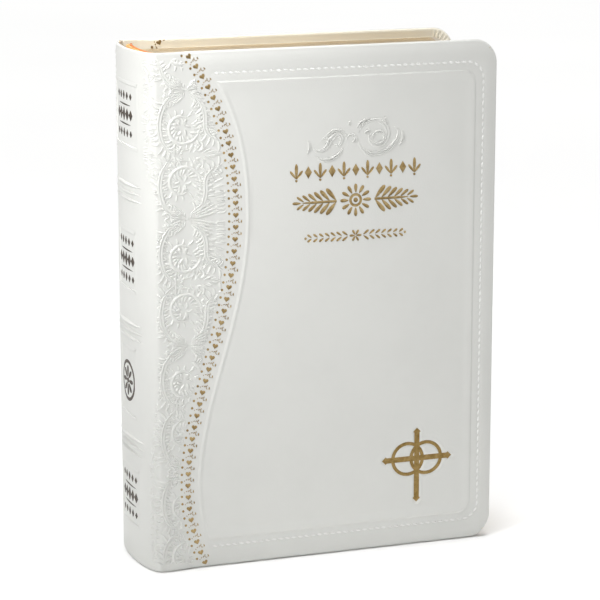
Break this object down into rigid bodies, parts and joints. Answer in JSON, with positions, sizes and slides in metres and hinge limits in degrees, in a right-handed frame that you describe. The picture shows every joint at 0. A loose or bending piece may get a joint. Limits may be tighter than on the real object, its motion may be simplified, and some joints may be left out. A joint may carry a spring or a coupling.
{
  "type": "padded leather bible",
  "caption": "Devotional book in white padded leather with a foil vine and cross, gilt page edges, hinged covers and fanning pages.",
  "frame": {"origin": "middle of the book's footprint, on the surface that its tail edge stands on", "axes": "+X from the spine to the fore-edge, +Y from the front cover to the back cover, +Z from tail to head; the book stands upright and closed"},
  "size_m": [0.152, 0.05, 0.212],
  "materials": {
    "white_leather": "satin, fine grain, embossed",
    "gold_foil": "satin hot-stamped foil",
    "spine_print": "matte dark print",
    "page_block": "thin paper with gilt edges",
    "page_paper": "thin paper with gilt edges",
    "endpaper": "smooth cream paper",
    "headband": "woven, gold and orange",
    "cloth": "open-weave cloth",
    "thread": "linen thread",
    "glue": "dried flexible glue",
    "lining_paper": "kraft paper",
    "card": "grey card",
    "board": "grey bookbinding board",
    "foam": "soft open-cell foam sheet"
  },
  "bodies": {
    "text_block": {"section_01": "page_block", "section_02": "page_block", "section_03": "page_block", "section_04": "page_block", "section_05": "page_block", "section_06": "page_block", "section_07": "page_block", "section_08": "page_block", "section_09": "page_block", "section_10": "page_block", "section_11": "page_block", "section_12": "page_block", "section_13": "page_block", "section_14": "page_block", "section_15": "page_block", "section_16": "page_block", "section_17": "page_block", "section_18": "page_block", "section_19": "page_block", "section_20": "page_block", "front_gutter_folds": "page_paper", "back_gutter_folds": "page_paper", "sewing_thread": "thread", "spine_glue": "glue", "mull_cloth": "cloth", "spine_lining_paper": "lining_paper", "headband_top": "headband", "headband_bottom": "headband", "spine_leather": "white_leather", "spine_stiffener": "card", "spine_print": "spine_print"},
    "front_cover": {"front_board": "board", "front_foam_pad": "foam", "front_leather": "white_leather", "front_pastedown": "endpaper", "front_mull_flange": "cloth", "front_vine_foil": "gold_foil", "title_ornament_foil": "gold_foil", "cross_foil": "gold_foil"},
    "back_cover": {"back_board": "board", "back_foam_pad": "foam", "back_leather": "white_leather", "back_pastedown": "endpaper", "back_mull_flange": "cloth", "back_vine_foil": "gold_foil"},
    "front_endpaper": {"front_endpaper": "endpaper"},
    "back_endpaper": {"back_endpaper": "endpaper"},
    "front_leaf_1": {"front_leaf_1": "page_paper"},
    "front_leaf_2": {"front_leaf_2": "page_paper"},
    "front_leaf_3": {"front_leaf_3": "page_paper"},
    "front_leaf_4": {"front_leaf_4": "page_paper"},
    "front_leaf_5": {"front_leaf_5": "page_paper"},
    "front_leaf_6": {"front_leaf_6": "page_paper"},
    "back_leaf_1": {"back_leaf_1": "page_paper"},
    "back_leaf_2": {"back_leaf_2": "page_paper"},
    "back_leaf_3": {"back_leaf_3": "page_paper"}
  },
  "joints": [
    {"name": "front_cover_hinge", "type": "hinge", "parent": "text_block", "child": "front_cover", "pos_m": [-0.063, -0.025, 0.106], "axis": [0, 0, -1], "range_deg": [0, 170]},
    {"name": "back_cover_hinge", "type": "hinge", "parent": "text_block", "child": "back_cover", "pos_m": [-0.063, 0.025, 0.106], "axis": [0, 0, 1], "range_deg": [0, 170]},
    {"name": "front_endpaper_turn", "type": "hinge", "parent": "text_block", "child": "front_endpaper", "pos_m": [-0.055, -0.0216, 0.106], "axis": [0, 0, -1], "range_deg": [0, 143.3]},
    {"name": "front_leaf_1_turn", "type": "hinge", "parent": "text_block", "child": "front_leaf_1", "pos_m": [-0.055, -0.0213, 0.106], "axis": [0, 0, -1], "range_deg": [0, 126.3]},
    {"name": "front_leaf_2_turn", "type": "hinge", "parent": "text_block", "child": "front_leaf_2", "pos_m": [-0.055, -0.0209, 0.106], "axis": [0, 0, -1], "range_deg": [0, 109.3]},
    {"name": "front_leaf_3_turn", "type": "hinge", "parent": "text_block", "child": "front_leaf_3", "pos_m": [-0.055, -0.0205, 0.106], "axis": [0, 0, -1], "range_deg": [0, 90.6]},
    {"name": "front_leaf_4_turn", "type": "hinge", "parent": "text_block", "child": "front_leaf_4", "pos_m": [-0.055, -0.0201, 0.106], "axis": [0, 0, -1], "range_deg": [0, 70.2]},
    {"name": "front_leaf_5_turn", "type": "hinge", "parent": "text_block", "child": "front_leaf_5", "pos_m": [-0.055, -0.0197, 0.106], "axis": [0, 0, -1], "range_deg": [0, 48.1]},
    {"name": "front_leaf_6_turn", "type": "hinge", "parent": "text_block", "child": "front_leaf_6", "pos_m": [-0.055, -0.0193, 0.106], "axis": [0, 0, -1], "range_deg": [0, 24.3]},
    {"name": "back_endpaper_turn", "type": "hinge", "parent": "text_block", "child": "back_endpaper", "pos_m": [-0.055, 0.0216, 0.106], "axis": [0, 0, 1], "range_deg": [0, 143.3]},
    {"name": "back_leaf_1_turn", "type": "hinge", "parent": "text_block", "child": "back_leaf_1", "pos_m": [-0.055, 0.0213, 0.106], "axis": [0, 0, 1], "range_deg": [0, 112.7]},
    {"name": "back_leaf_2_turn", "type": "hinge", "parent": "text_block", "child": "back_leaf_2", "pos_m": [-0.055, 0.0209, 0.106], "axis": [0, 0, 1], "range_deg": [0, 77]},
    {"name": "back_leaf_3_turn", "type": "hinge", "parent": "text_block", "child": "back_leaf_3", "pos_m": [-0.055, 0.0205, 0.106], "axis": [0, 0, 1], "range_deg": [0, 37.9]}
  ],
  "couplings": [
    {"joint": "front_endpaper_turn", "follows": "front_cover_hinge", "ratio": 0.84},
    {"joint": "front_leaf_1_turn", "follows": "front_cover_hinge", "ratio": 0.74},
    {"joint": "front_leaf_2_turn", "follows": "front_cover_hinge", "ratio": 0.64},
    {"joint": "front_leaf_3_turn", "follows": "front_cover_hinge", "ratio": 0.53},
    {"joint": "front_leaf_4_turn", "follows": "front_cover_hinge", "ratio": 0.41},
    {"joint": "front_leaf_5_turn", "follows": "front_cover_hinge", "ratio": 0.28},
    {"joint": "front_leaf_6_turn", "follows": "front_cover_hinge", "ratio": 0.14},
    {"joint": "back_endpaper_turn", "follows": "back_cover_hinge", "ratio": 0.84},
    {"joint": "back_leaf_1_turn", "follows": "back_cover_hinge", "ratio": 0.66},
    {"joint": "back_leaf_2_turn", "follows": "back_cover_hinge", "ratio": 0.45},
    {"joint": "back_leaf_3_turn", "follows": "back_cover_hinge", "ratio": 0.22}
  ]
}
